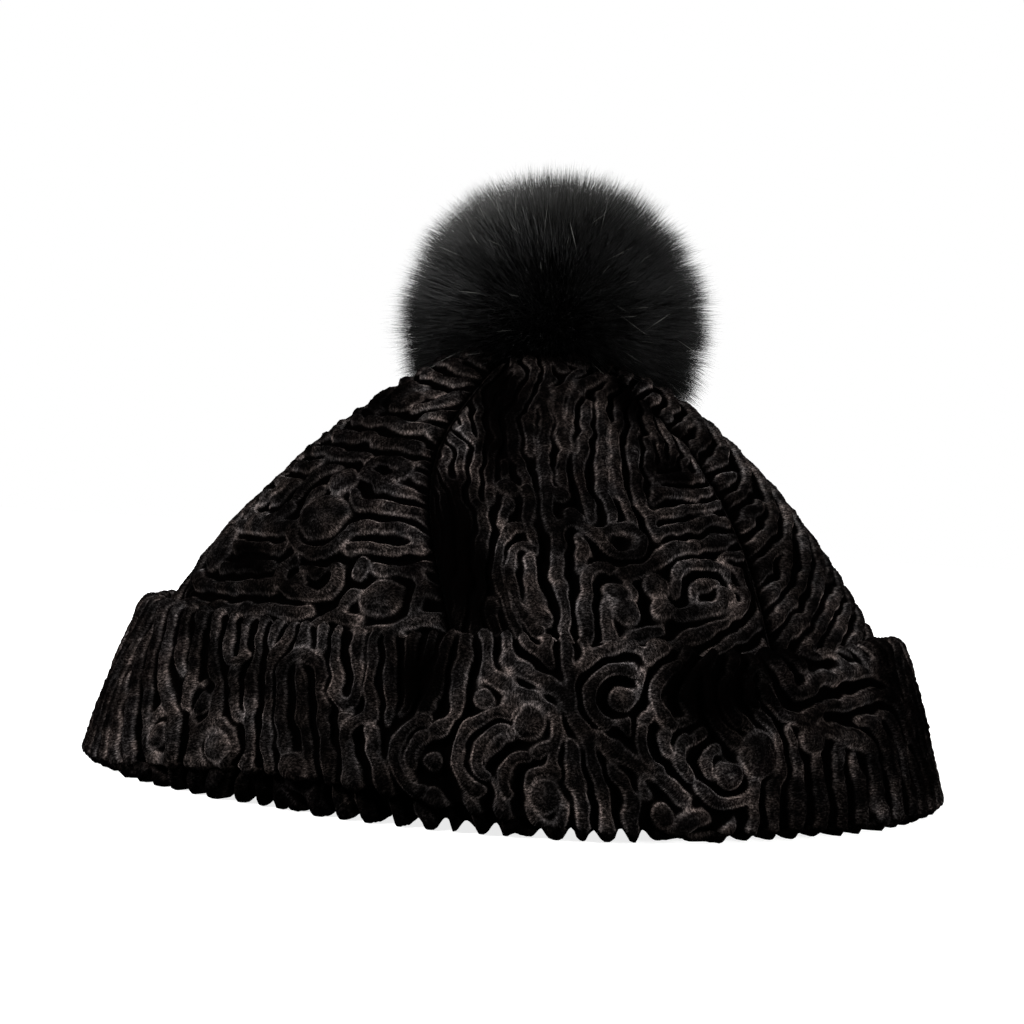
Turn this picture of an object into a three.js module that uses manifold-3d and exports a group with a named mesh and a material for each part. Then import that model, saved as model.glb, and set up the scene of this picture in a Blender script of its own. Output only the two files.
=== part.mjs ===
// A curly lambskin winter cap: six gores sewn into a crown, a deep turned-up cuff, and a ball of long fur.
// Millimetres, +Z up. The cap stands on the fold of its cuff at z = 0, with its wide front facing -Y.
import * as THREE from "three";
import { mergeVertices } from "three/addons/utils/BufferGeometryUtils.js";
import Module from "manifold-3d";

const wasm = await Module();
wasm.setup();

// Driving dimensions of the fold that the cap stands on.
const RIM_WIDTH = 250;
const RIM_DEPTH = 184;
const LENS = 0.18; // 0 is an ellipse seen from above; more draws its two ends out
const LEAN_BACK = 20; // how far the top of the crown sits behind the middle of the rim

// Driving dimensions of the crown.
const CROWN_WIDTH = 234;
const CROWN_DEPTH = 165;
const CROWN_HEIGHT = 130;
const CROWN_POWER = 1.5; // 2 is a dome, 1 is a cone
const PELT = 4.5; // hide, lining and the curls on them
const DIMPLE = 8; // the fur ball's tie draws the top down
const DIMPLE_RADIUS = 16;
const TIE_HOLE = 4.5; // radius

// Driving dimensions of the gores and their seams.
const GORE_FOOT = 32; // height of the seam that joins the gores to the band
const FOOT_GAP = 0.3;
const GORE_ACROSS = 100; // about the width of a gore at its foot, over which its rolls are counted
const SEAM_SETTLED = 0.55; // part of the way up a gore at which its seams run straight to the top
const SEAM_GAP = 0.6;
const PUFF = 2.5; // how far a gore swells between its seams

// Driving dimensions of the cuff.
const CUFF_HEIGHT = 47;
const CUFF_FLARE_X = 0.3; // how much the cuff narrows for each millimetre of height
const CUFF_FLARE_Y = 0.24;
const OUTER_LAYER = 6;
const LAYER_GAP = 2;
const FOLD_HEIGHT = 7;
const FOLD_ROUND = 1.5;
const HEM_ROUND = 3;
const LIP_LIFT = 7; // the outer layer rides this far above the fold at the front left
const LIP_RECESS = 3.5;
const LIP_MIDDLE = -28; // degrees
const LIP_SPREAD = 44;

// Driving dimensions of the curls and of the fur ball.
const CURL_HEIGHT = 0.9;
const BALL_RADIUS = 48;
const BALL_CENTRE = new THREE.Vector3(4.5, 36, 135);
const BALL_CORE = 37;
const LOCK_COUNT = 80;
const LOCK_BASE = 11;
const LOCK_TIP = 2.2;
const LOCK_ROOT = 26; // how deep in the core a lock starts, from the ball's centre
const LOCK_STAGGER = 1.5; // locks come in three lengths, this far apart
const LOCK_SIDES = 5;
const BALL_SEAT_GAP = 0.5;
const TIE_RADIUS = 3.6;
const TIE_INSIDE = 2; // how far the tie shows under the crown, and how far it runs up into the ball
const TIE_OUTSIDE = 6;

// Each gore's left seam, in degrees round from straight ahead at its foot and its top, and its curls:
// the angle of their rolls from level, and the space from roll to roll.
const GORES = [
  { name: "gore_front", seamFoot: -9, seamTop: -26, flow: 88, pitch: 15 },
  { name: "gore_right", seamFoot: 40, seamTop: 50, flow: 48, pitch: 13 },
  { name: "gore_back_right", seamFoot: 108, seamTop: 114, flow: 70, pitch: 14 },
  { name: "gore_back", seamFoot: 168, seamTop: 168, flow: 95, pitch: 15 },
  { name: "gore_back_left", seamFoot: 220, seamTop: 216, flow: 120, pitch: 14 },
  { name: "gore_left", seamFoot: 285, seamTop: 272, flow: 6, pitch: 14 },
];

// How finely the surfaces are divided.
const GORE_COLUMNS = 14;
const GORE_ROWS = 16;
const HOLLOW_COLUMNS = 42;
const HOLLOW_ROWS = 9;
const HOLLOW_FOOT = 12; // well under the gores, so that the cut is clean
const TIE_SIDES = 16;
const CUFF_STATIONS = 108;

const FUR_BLACK = 0x17120f;
const BALL_BLACK = 0x121110;

const radians = THREE.MathUtils.degToRad;

// How far back the cap's middle lies at a height.
function setBack(height) {
  return LEAN_BACK * (height / CROWN_HEIGHT) ** 2;
}

// A point of an oval ring at angle turn from straight ahead, drawn out towards its two ends.
function ovalPoint(halfWidth, halfDepth, height, turn) {
  const aside = Math.sin(turn);
  const depth = halfDepth * Math.cos(turn) * (1 - LENS * aside * aside);
  return new THREE.Vector3(halfWidth * aside, setBack(height) - depth, height);
}

// The crown's sizes, or those of a like form inset from it.
function domeSize(inset) {
  return {
    halfWidth: CROWN_WIDTH / 2 - inset,
    halfDepth: CROWN_DEPTH / 2 - inset,
    height: CROWN_HEIGHT - inset,
  };
}

// The angle up the dome's profile at which it reaches a height, and at which it narrows to a radius.
function angleAtHeight(dome, height) {
  return Math.asin((height / dome.height) ** (CROWN_POWER / 2));
}

function angleAtRadius(dome, radius) {
  return Math.acos((radius / dome.halfWidth) ** (CROWN_POWER / 2));
}

function domePoint(dome, climb, turn) {
  const width = dome.halfWidth * Math.cos(climb) ** (2 / CROWN_POWER);
  const depth = (width * dome.halfDepth) / dome.halfWidth;
  const drawn = DIMPLE * Math.exp(-((width / DIMPLE_RADIUS) ** 2));
  const height = dome.height * Math.sin(climb) ** (2 / CROWN_POWER) - drawn;
  return ovalPoint(width, depth, height, turn);
}

// A dome point moved out along the surface's normal.
function raisedDomePoint(dome, climb, turn, rise) {
  const step = 1e-3;
  const here = domePoint(dome, climb, turn);
  const up = domePoint(dome, climb + step, turn).sub(here);
  const round = domePoint(dome, climb, turn + step).sub(here);
  return here.addScaledVector(round.cross(up).normalize(), rise);
}

// The turn of a gore's left seam; the seam after the last gore's is the first one's, a full turn on.
function seamTurn(index, rise) {
  const lap = Math.floor(index / GORES.length);
  const gore = GORES[index % GORES.length];
  const settled = THREE.MathUtils.smoothstep(rise, 0, SEAM_SETTLED);
  return radians(gore.seamFoot + (gore.seamTop - gore.seamFoot) * settled + 360 * lap);
}

// The swell of a gore and the rolls of its curls; both die away at its seams, its foot and its tip.
function goreRelief(gore, across, rise, point) {
  const atSeams = Math.sin(Math.PI * across);
  const atEnds = Math.sqrt(Math.max(0, Math.sin(Math.PI * rise)));
  const angle = radians(gore.flow);
  const along = across * GORE_ACROSS * Math.sin(angle) + point.z * Math.cos(angle);
  const roll = Math.cos((2 * Math.PI * along) / gore.pitch);
  return (PUFF * atSeams + CURL_HEIGHT * roll * Math.sqrt(atSeams)) * atEnds;
}

// A solid for joining and cutting, from a closed geometry.
function manifoldOf(geometry) {
  const bare = geometry.clone();
  bare.deleteAttribute("normal");
  bare.deleteAttribute("uv");
  const merged = mergeVertices(bare, 1e-4);
  return new wasm.Manifold(
    new wasm.Mesh({
      numProp: 3,
      vertProperties: merged.attributes.position.array,
      triVerts: new Uint32Array(merged.index.array),
    }),
  );
}

function solidFrom(points, faces) {
  const geometry = new THREE.BufferGeometry().setFromPoints(points);
  geometry.setIndex(faces);
  return manifoldOf(geometry);
}

function geometryOf(solid) {
  const mesh = solid.getMesh();
  const geometry = new THREE.BufferGeometry();
  geometry.setAttribute("position", new THREE.BufferAttribute(mesh.vertProperties, 3));
  geometry.setIndex(new THREE.BufferAttribute(mesh.triVerts, 1));
  return geometry;
}

// The whole space inside a dome, from a foot height to its top: a ring grid with a fan at each end.
function domeFill(inset, rise, foot, columns, rows) {
  const dome = domeSize(inset);
  const start = angleAtHeight(dome, foot);
  const end = angleAtRadius(dome, TIE_HOLE / 4);
  const points = [];
  const faces = [];
  for (let row = 0; row <= rows; row++) {
    const climb = start + ((end - start) * row) / rows;
    for (let column = 0; column < columns; column++) {
      points.push(raisedDomePoint(dome, climb, (2 * Math.PI * column) / columns, rise));
    }
  }
  const footCentre = points.length;
  points.push(new THREE.Vector3(0, setBack(foot), points[0].z));
  points.push(new THREE.Vector3(0, points[rows * columns].y, points[rows * columns].z));
  for (let column = 0; column < columns; column++) {
    const next = (column + 1) % columns;
    for (let row = 0; row < rows; row++) {
      const low = row * columns;
      const high = low + columns;
      faces.push(low + column, low + next, high + next, low + column, high + next, high + column);
    }
    faces.push(footCentre, next, column);
    faces.push(footCentre + 1, rows * columns + column, rows * columns + next);
  }
  return solidFrom(points, faces);
}

// One gore as a wedge from the cap's middle out to its curled face, before the hollow is cut away.
function goreWedge(gore, index) {
  const dome = domeSize(0);
  const start = angleAtHeight(dome, GORE_FOOT);
  const end = angleAtRadius(dome, TIE_HOLE / 2);
  const points = [];
  const faces = [];
  const rowLength = GORE_COLUMNS + 2;
  for (let row = 0; row <= GORE_ROWS; row++) {
    const rise = row / GORE_ROWS;
    const climb = start + (end - start) * rise;
    const width = dome.halfWidth * Math.cos(climb) ** (2 / CROWN_POWER);
    const margin = SEAM_GAP / 2 / width;
    const left = seamTurn(index, rise) + margin;
    const right = seamTurn(index + 1, rise) - margin;
    for (let column = 0; column <= GORE_COLUMNS; column++) {
      const across = column / GORE_COLUMNS;
      const turn = left + (right - left) * across;
      const relief = goreRelief(gore, across, rise, domePoint(dome, climb, turn));
      points.push(raisedDomePoint(dome, climb, turn, relief));
    }
    const last = points[points.length - 1];
    points.push(new THREE.Vector3(0, setBack(last.z), last.z));
  }
  for (let row = 0; row < GORE_ROWS; row++) {
    const low = row * rowLength;
    const high = low + rowLength;
    for (let column = 0; column <= GORE_COLUMNS; column++) {
      const next = column + 1;
      faces.push(low + column, low + next, high + next, low + column, high + next, high + column);
    }
    // This side is split along the same diagonal as the neighbour's that it faces.
    const axis = GORE_COLUMNS + 1;
    faces.push(low + axis, low, high + axis, low, high, high + axis);
  }
  const top = GORE_ROWS * rowLength;
  for (let column = 0; column < GORE_COLUMNS; column++) {
    faces.push(GORE_COLUMNS + 1, column + 1, column);
    faces.push(top + GORE_COLUMNS + 1, top + column, top + column + 1);
  }
  return solidFrom(points, faces);
}

function tieCylinder(radius, low, high) {
  const geometry = new THREE.CylinderGeometry(radius, radius, high - low, TIE_SIDES);
  geometry.rotateX(Math.PI / 2);
  geometry.translate(0, setBack(CROWN_HEIGHT - DIMPLE), (low + high) / 2);
  return manifoldOf(geometry);
}

// How strongly the outer layer is lifted off the fold at a turn, from 0 to 1.
function lipShape(turn) {
  const away = Math.min(1, Math.abs(turn - radians(LIP_MIDDLE)) / radians(LIP_SPREAD));
  return Math.cos((away * Math.PI) / 2) ** 2;
}

// The cuff's section at a turn: how far in from the outer face, and how high.
function cuffSection(turn) {
  const lip = lipShape(turn);
  const innerLayer = OUTER_LAYER + LAYER_GAP;
  const inside = innerLayer + PELT;
  const seam = GORE_FOOT - FOOT_GAP;
  const lift = LIP_LIFT * lip;
  const foldInset = FOLD_ROUND + LIP_RECESS * lip;
  return [
    { inset: 0, height: FOLD_ROUND + lift, curl: 0.6 },
    { inset: -0.3, height: 13 + lift / 2, curl: 1 },
    { inset: -0.6, height: 30, curl: 1 },
    { inset: 0.8, height: CUFF_HEIGHT - HEM_ROUND, curl: 0.7 },
    { inset: OUTER_LAYER / 2, height: CUFF_HEIGHT, curl: 0 },
    { inset: OUTER_LAYER, height: CUFF_HEIGHT - HEM_ROUND, curl: 0 },
    { inset: OUTER_LAYER, height: FOLD_HEIGHT, curl: 0 },
    { inset: innerLayer, height: FOLD_HEIGHT, curl: 0 },
    { inset: innerLayer, height: seam, curl: 0 },
    { inset: inside, height: seam, curl: 0 },
    { inset: inside, height: FOLD_ROUND, curl: 0 },
    { inset: inside - FOLD_ROUND, height: 0, curl: 0 },
    { inset: foldInset, height: 0, curl: 0 },
    { inset: foldInset - FOLD_ROUND / 2, height: FOLD_ROUND / 2 + lift, curl: 0 },
  ];
}

function cuffSolid() {
  const points = [];
  const faces = [];
  const count = cuffSection(0).length;
  for (let station = 0; station < CUFF_STATIONS; station++) {
    const turn = (2 * Math.PI * station) / CUFF_STATIONS - Math.PI;
    const roll = station % 2 ? CURL_HEIGHT : -CURL_HEIGHT;
    for (const corner of cuffSection(turn)) {
      const inset = corner.inset - roll * corner.curl;
      const halfWidth = RIM_WIDTH / 2 - CURL_HEIGHT - inset - CUFF_FLARE_X * corner.height;
      const halfDepth = RIM_DEPTH / 2 - CURL_HEIGHT - inset - CUFF_FLARE_Y * corner.height;
      points.push(ovalPoint(halfWidth, halfDepth, corner.height, turn));
    }
  }
  for (let station = 0; station < CUFF_STATIONS; station++) {
    const here = station * count;
    const there = ((station + 1) % CUFF_STATIONS) * count;
    for (let corner = 0; corner < count; corner++) {
      const next = (corner + 1) % count;
      faces.push(here + corner, there + corner, there + next);
      faces.push(here + corner, there + next, here + next);
    }
  }
  return solidFrom(points, faces);
}

// A tapered lock of long fur that stands out of the ball's core.
function lockSolid(direction, length) {
  const geometry = new THREE.CylinderGeometry(LOCK_TIP, LOCK_BASE, length - LOCK_ROOT, LOCK_SIDES);
  geometry.translate(0, (length + LOCK_ROOT) / 2, 0);
  const turn = new THREE.Quaternion().setFromUnitVectors(new THREE.Vector3(0, 1, 0), direction);
  geometry.applyQuaternion(turn);
  geometry.translate(BALL_CENTRE.x, BALL_CENTRE.y, BALL_CENTRE.z);
  return manifoldOf(geometry);
}

// The fur ball: a core and its locks in one piece, hollowed where it sits on the crown, with its tie.
function ballSolid() {
  const core = new THREE.IcosahedronGeometry(BALL_CORE, 2);
  core.translate(BALL_CENTRE.x, BALL_CENTRE.y, BALL_CENTRE.z);
  const goldenTurn = Math.PI * (3 - Math.sqrt(5));
  const locks = [];
  for (let lock = 0; lock < LOCK_COUNT; lock++) {
    const up = 1 - (2 * (lock + 0.5)) / LOCK_COUNT;
    const out = Math.sqrt(1 - up * up);
    const turn = goldenTurn * lock;
    const direction = new THREE.Vector3(out * Math.cos(turn), out * Math.sin(turn), up);
    locks.push(lockSolid(direction, BALL_RADIUS - LOCK_STAGGER * (lock % 3)));
  }
  const ball = wasm.Manifold.union([manifoldOf(core), ...locks]);
  const seatRise = PUFF + CURL_HEIGHT + BALL_SEAT_GAP;
  const seat = domeFill(0, seatRise, GORE_FOOT, HOLLOW_COLUMNS, HOLLOW_ROWS);
  const top = CROWN_HEIGHT - DIMPLE;
  const tie = tieCylinder(TIE_RADIUS, top - PELT - TIE_INSIDE, top + TIE_OUTSIDE);
  return ball.subtract(seat).add(tie);
}

const fur = new THREE.MeshStandardMaterial({ color: FUR_BLACK, roughness: 0.85, metalness: 0 });
const ballFur = new THREE.MeshStandardMaterial({ color: BALL_BLACK, roughness: 0.7, metalness: 0 });
const cap = new THREE.Group();

function addPiece(name, solid, material) {
  const mesh = new THREE.Mesh(geometryOf(solid), material);
  mesh.name = name;
  cap.add(mesh);
}

const hollow = domeFill(PELT, 0, HOLLOW_FOOT, HOLLOW_COLUMNS, HOLLOW_ROWS);
const tieHole = tieCylinder(TIE_HOLE, CROWN_HEIGHT - 4 * DIMPLE, CROWN_HEIGHT + DIMPLE);
const removed = hollow.add(tieHole);
GORES.forEach((gore, index) => addPiece(gore.name, goreWedge(gore, index).subtract(removed), fur));
addPiece("cuff", cuffSolid(), fur);
addPiece("fur_ball", ballSolid(), ballFur);

// The origin is the middle of the cap's box, on the surface that it stands on.
const box = new THREE.Box3().setFromObject(cap);
cap.position.set(-(box.min.x + box.max.x) / 2, -(box.min.y + box.max.y) / 2, -box.min.z);

export default cap;
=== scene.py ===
# %% [markdown]
# A winter cap of black curly lambskin stands on its rim: six gores sewn into a crown, a deep band turned up into a
# cuff, and a ball of long black fur. This lesson shows how two very different furs are made as meshes: curls that
# are carved into a dense skin, and long hair that is built strand by strand. The packed model gives the frame, and
# everything here is placed in it, in metres.

# %% Load the frame
import math

import bmesh
import bpy
import numpy as np
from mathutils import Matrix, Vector


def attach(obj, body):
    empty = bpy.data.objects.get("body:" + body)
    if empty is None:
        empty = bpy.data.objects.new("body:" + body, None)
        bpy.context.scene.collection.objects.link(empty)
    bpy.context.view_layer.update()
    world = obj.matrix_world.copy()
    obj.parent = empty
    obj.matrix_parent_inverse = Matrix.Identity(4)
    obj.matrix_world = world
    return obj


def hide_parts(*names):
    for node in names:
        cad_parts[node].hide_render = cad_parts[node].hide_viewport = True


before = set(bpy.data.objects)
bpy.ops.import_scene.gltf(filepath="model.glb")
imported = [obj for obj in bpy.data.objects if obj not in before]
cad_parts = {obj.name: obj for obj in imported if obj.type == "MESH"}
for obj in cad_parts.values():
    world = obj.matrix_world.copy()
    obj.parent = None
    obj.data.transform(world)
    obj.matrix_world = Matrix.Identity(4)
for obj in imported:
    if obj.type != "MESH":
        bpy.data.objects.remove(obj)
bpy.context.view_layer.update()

MM = 0.001
print("solids:", sorted(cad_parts))

# %% [markdown]
# The camera comes first, because the picture settles what has to be fine and what may be coarse. The photo was
# taken from close by, about 77 mm above the rim and looking level, so the wide front of the cuff bulges towards us.
# The photo leans a little, and the camera's roll gives that lean, so that the cap itself can stand level.

# %% Camera
EYE = Vector((-4.9, -472.0, 77.0)) * MM
ROLL = math.radians(-3.57)
LENS_MM = 57.0


def add(name, data):
    """An object that holds some data, linked to the scene."""
    made = bpy.data.objects.new(name, data)
    bpy.context.scene.collection.objects.link(made)
    return made


lens = bpy.data.cameras.new("camera")
lens.lens = LENS_MM
lens.sensor_width = 36.0
lens.clip_start = 0.01
camera = add("camera", lens)
camera.location = EYE
camera.rotation_euler = (math.radians(90), ROLL, 0)
bpy.context.scene.camera = camera
print("camera", round(-EYE.y, 3), "m from the cap's middle")

# %% [markdown]
# Both skins lie on the cap's own form, so the form is written once, as functions. Seen from above the cap is an oval
# whose ends are drawn out, and a superellipse gives the crown's profile. All of them take arrays of numbers, in
# millimetres, because numpy works out a hundred thousand points in one step.

# %% The cap's form
RIM_WIDTH = 250.0
RIM_DEPTH = 184.0
END_DRAW = 0.18
LEAN_BACK = 20.0
CROWN_WIDTH = 234.0
CROWN_DEPTH = 165.0
CROWN_HEIGHT = 130.0
CROWN_POWER = 1.5
PELT = 4.5
DIMPLE = 8.0
DIMPLE_RADIUS = 16.0


def set_back(height):
    """How far back the cap's middle lies at a height."""
    return LEAN_BACK * (height / CROWN_HEIGHT) ** 2


def oval(half_width, half_depth, height, turn):
    """Points of an oval ring, at angles counted from straight ahead."""
    aside = np.sin(turn)
    depth = half_depth * np.cos(turn) * (1 - END_DRAW * aside**2)
    x, y, z = np.broadcast_arrays(half_width * aside, set_back(height) - depth, height)
    return np.stack([x, y, z], axis=-1)


def dome(climb, turn, inset=0.0):
    """Points of the crown, or of a like form inset from it."""
    half_width = CROWN_WIDTH / 2 - inset
    half_depth = CROWN_DEPTH / 2 - inset
    width = half_width * np.cos(climb) ** (2 / CROWN_POWER)
    drawn = DIMPLE * np.exp(-((width / DIMPLE_RADIUS) ** 2))
    height = (CROWN_HEIGHT - inset) * np.sin(climb) ** (2 / CROWN_POWER) - drawn
    return oval(width, width * half_depth / half_width, height, turn)


def smooth_step(value, low, high):
    share = np.clip((value - low) / (high - low), 0, 1)
    return share * share * (3 - 2 * share)


print("crown", CROWN_WIDTH, "x", CROWN_DEPTH, "x", CROWN_HEIGHT, "mm, rim", RIM_WIDTH, "x", RIM_DEPTH, "mm")

# %% [markdown]
# The curls of a newborn lamb lie in long ridges that fork, end and wind round knots, as the lines of a fingerprint
# do. A noise texture can't draw that, and sculpting them one by one would take days, so the ridges are grown the way
# fingerprints are drawn by computer. Random noise is filtered again and again with waves that follow a field of
# directions, until only ridges are left.
# Curls that catch the eye in the photo are charted, in millimetres on the flat pelt, as round knobs, bows and
# bars. Knobs and bows stay as they are while the rest grows round them, and bars melt a little into the ridges beside
# them.

# %% Charted curls of the cuff
KNOB = ("x", "y", "size")
BOW = ("x", "y", "wide", "tall", "start", "end", "size")
BAR = ("x", "y", "lean", "length", "size")
CUFF_KNOBS = [
    (-87.4, 23, 2.8), (-100.5, 12.8, 3.1), (-55.2, 11.2, 3.6), (-78.9, 13, 3.8), (-19.9, 16.3, 2.1),
    (2.3, 27.1, 3.8), (6.9, 9.7, 3.7), (-9.2, 32.6, 2.2), (25.6, 34.1, 3.2), (80.8, 24.4, 4.2),
    (62, 21, 5.4), (34.7, 6.9, 2.6),
]
CUFF_BOWS = [
    (-81.5, 36.8, 2.9, 2.1, 180, 360, 0.9), (-59, 34.9, 5.7, 4.7, 0, 180, 1.1),
    (-44.7, 30.9, 3, 2.6, 180, 360, 1), (-36.7, 19.9, 5.9, 5.4, 85, 180, 1),
    (-20.5, 17.6, 8.9, 8.5, 100, 262, 1.1), (-20.5, 17.4, 4.8, 4.6, 110, 205, 0.8),
    (-2.9, 18.7, 11.1, 10.7, 92, 235, 1), (-2.9, 18.7, 6.6, 6.4, 95, 225, 1),
    (2.6, 13.6, 5.8, 5.7, 95, 220, 0.9), (25.6, 34.4, 8.4, 7.5, 75, 240, 1.2),
    (44.9, 34.9, 10.8, 9, 110, 232, 1.3), (63.3, 35, 9.9, 7.6, 135, 225, 1.1),
    (66.7, 35.8, 5.3, 3.9, 140, 230, 1), (77.3, 37, 10.4, 7.3, 180, 320, 1.5),
    (96.2, 20.4, 7, 4.4, 0, 180, 1.7), (37.2, 23.3, 7.1, 6.3, 150, 250, 1),
    (46, 19.9, 6.3, 5.4, 120, 230, 1), (53.2, 16.3, 2.3, 1.9, 0, 360, 1),
]
CUFF_BARS = [
    (-86.4, 40.7, 115, 9.3, 1), (-80.5, 41.2, 113, 9.1, 1), (-62.4, 25.6, 105, 18.2, 1.1),
    (-51.6, 30.6, 109, 10.4, 1.1), (-56.3, 25.8, 110, 17.4, 1.1), (-49.9, 39, 105, 17.2, 1.1),
    (-43.6, 39.4, 103, 16.7, 1.1), (-39.2, 36.7, 101, 22, 1.2), (-34.6, 38.6, 100, 18.2, 1),
    (-29.8, 43.5, 99, 8.2, 1), (-45.4, 12.3, 110, 12.7, 1.1), (-40.1, 10.6, 109, 15.9, 1.1),
    (-32.2, 12.3, 113, 15.7, 1.1), (-20.8, 38.9, 94, 11.8, 1), (-16, 34.5, 97, 14.1, 1),
    (-3.6, 40, 125, 5.5, 1.2), (3.5, 38.3, 164, 8.6, 1.2), (0.5, 32.9, 16, 9.2, 1.4),
    (10.3, 30.4, 94, 11.8, 0.7), (28.2, 19, 147, 23.4, 1.2), (13.1, 17.9, 91, 8.9, 1.9),
    (76, 38.9, 107, 5.6, 1.8), (96.7, 33.9, 9, 16.4, 1.6), (93.2, 24.8, 160, 16.8, 1.9),
    (88.3, 13.4, 81, 14.8, 1.6), (101.6, 13.1, 74, 14.3, 1.8), (80.6, 11.8, 90, 12.1, 1.8),
    (112.6, 14.2, 86, 14.1, 2.4), (27.2, 6.8, 89, 6.8, 1.9), (42.2, 5.8, 10, 5.3, 1.9),
    (65, 9.1, 86, 6.6, 1.4), (72.5, 9.5, 86, 5.2, 2.3),
]
print("curls charted on the cuff:", len(CUFF_KNOBS) + len(CUFF_BOWS) + len(CUFF_BARS))

# %% Charted curls of two gores
GORE_FRONT_KNOBS = [
    (5.4, 117.9, 5.6), (-21.9, 59, 2.8), (-8.5, 57, 1.9), (-6.7, 50.3, 2.1), (-0.3, 28.5, 2.6),
    (1.2, 22.9, 3.4), (10.9, 30.8, 3.5), (11.6, 24.2, 3.2), (31.9, 29.3, 2.9),
]
GORE_FRONT_BOWS = [
    (-21.6, 28.9, 4.6, 12.4, 60, 270, 0.9), (-21.6, 28.9, 7.5, 17.7, 85, 240, 0.9),
    (-7.2, 41.7, 5.3, 6.4, 20, 180, 1.2), (4.6, 44.1, 6.2, 3.9, 0, 360, 1),
    (-2.9, 30.1, 4.8, 5.4, 60, 180, 1.1), (26.2, 33.9, 8.3, 5.1, 20, 170, 1.3),
]
GORE_FRONT_BARS = [
    (-21.7, 28.4, 83, 15.1, 1.7), (-8.2, 85.5, 81, 23.8, 1.4), (-4.2, 85.7, 83, 19.3, 1.7),
    (-1, 85.5, 79, 22.8, 1.3), (-2, 63.3, 90, 16.9, 1), (-6.6, 66.7, 78, 9.8, 1.2),
    (8.5, 90.8, 82, 19.2, 1.5), (5.2, 70, 81, 19.5, 1.2), (8.7, 71.3, 80, 25.2, 1.5),
    (13.6, 66.1, 82, 20.4, 1.8), (3.2, 102, 38, 28, 2.6), (-12.9, 80.1, 86, 13.4, 1.4),
    (-17.5, 74.9, 90, 12, 1.4), (-17.3, 53.9, 83, 8.4, 1.9), (-12.4, 55.9, 81, 20.2, 1.6),
    (-14.1, 36.4, 74, 8.9, 1.2), (-8.8, 24.1, 79, 10.4, 1.1), (22.9, 24.8, 14, 12.6, 2.6),
    (31.1, 45.1, 8, 11.3, 2), (31.6, 52.3, 21, 9.1, 2.1), (24.9, 61.4, 1, 13.1, 1.7),
]
GORE_LEFT_KNOBS = [
    (6, 46.4, 7.5), (7.2, 59.3, 4.7), (5.1, 24, 2.6), (29.9, 23.2, 5.5), (23, 31.8, 2.4),
    (-35.9, 34.5, 8.7), (4.6, 93.6, 4.2),
]
GORE_LEFT_BOWS = [
    (-17.1, 48.6, 9.6, 4.1, 175, 365, 1.7), (6.3, 45.7, 10.4, 11, 205, 335, 1.2),
    (18.1, 64.6, 5.4, 3.9, 0, 360, 1.5), (7.5, 27.3, 9.2, 5.7, 130, 400, 1.6),
]
GORE_LEFT_BARS = [
    (-16.2, 42, 180, 26.6, 2.7), (15.3, 75, 179, 13, 2.6), (8.6, 84, 176, 18.7, 2.7),
    (23.6, 58.5, 179, 8.7, 1.8), (24.6, 51.7, 178, 18, 1.6), (31.2, 44.7, 176, 11.8, 1.4),
    (28.7, 38.6, 1, 16.8, 1.4), (-15, 22.2, 5, 21.8, 2.1),
]
print("on the front gore:", len(GORE_FRONT_KNOBS) + len(GORE_FRONT_BOWS) + len(GORE_FRONT_BARS))
print("on the left gore:", len(GORE_LEFT_KNOBS) + len(GORE_LEFT_BOWS) + len(GORE_LEFT_BARS))

# %% [markdown]
# Wider areas of the pelt get a guide: which way the ridges run there, how coarse they are, and how loose, which lets
# them coil like a maze. Some areas are given painted shade: black areas, charted as soft ovals of shadow that only
# dim the finish and leave the form beneath it alone.

# %% Guides and areas of painted shade
GUIDE = ("x", "y", "wide", "tall", "flow", "coarse", "loose")
SHADOW = ("x", "y", "wide", "tall", "depth")
CUFF_GUIDES = [
    (-108, 22, 24, 60, 108, 2.0, 0.0), (-82, 22, 12, 60, 108, 1.2, 0.0), (-50, 22, 20, 60, 100, 0.5, 0.05),
    (0, 44, 60, 4, 80, 0.6, 0.4), (100, 36, 26, 14, 165, 1.6, 0.2), (100, 8, 30, 12, 95, 1.7, 0.05),
    (0, -6, 400, 7, 90, 1.1, 0.05),
]
GORE_FRONT_GUIDES = [(28, 30, 18, 44, 8, 1.0, 0.2)]
CUFF_SHADOWS = [
    (-25, 37, 8, 10, 0.93), (47, 37, 11, 13, 0.95), (62, 37, 9, 9, 0.75), (128, 32, 20, 28, 0.7),
    (68, 48, 28, 5, 0.9),
]
GORE_FRONT_SHADOWS = [
    (-38, 36, 8, 28, 0.95), (-19, 97, 8, 15, 0.9), (19, 100, 6, 12, 0.9), (26, 69, 9, 8, 0.85),
    (-22, 74, 7, 18, 0.85), (0, 60, 20, 32, 0.35),
]
GORE_LEFT_SHADOWS = [
    (-27, 74, 15, 13, 0.8), (-16, 31, 11, 6, 0.93), (-6, 93, 12, 9, 0.7), (-38, 50, 7, 9, 0.6),
    (16, 52, 6, 14, 0.3),
]
print("guides:", len(CUFF_GUIDES + GORE_FRONT_GUIDES))
print("black areas:", len(CUFF_SHADOWS + GORE_FRONT_SHADOWS + GORE_LEFT_SHADOWS))

# %% [markdown]
# A patch of pelt is a grid of numbers, one every 0.6 mm. It could be blurred by averaging neighbours, but a Fourier
# transform is faster: it splits the grid into waves, which are faded by how short they are and then put together
# again. The grid's edges meet, which suits a band that closes on itself.

# %% Soft fields
STEP = 0.6
TINY = 1e-9


def named(columns, rows):
    return [dict(zip(columns, row)) for row in rows]


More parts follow.
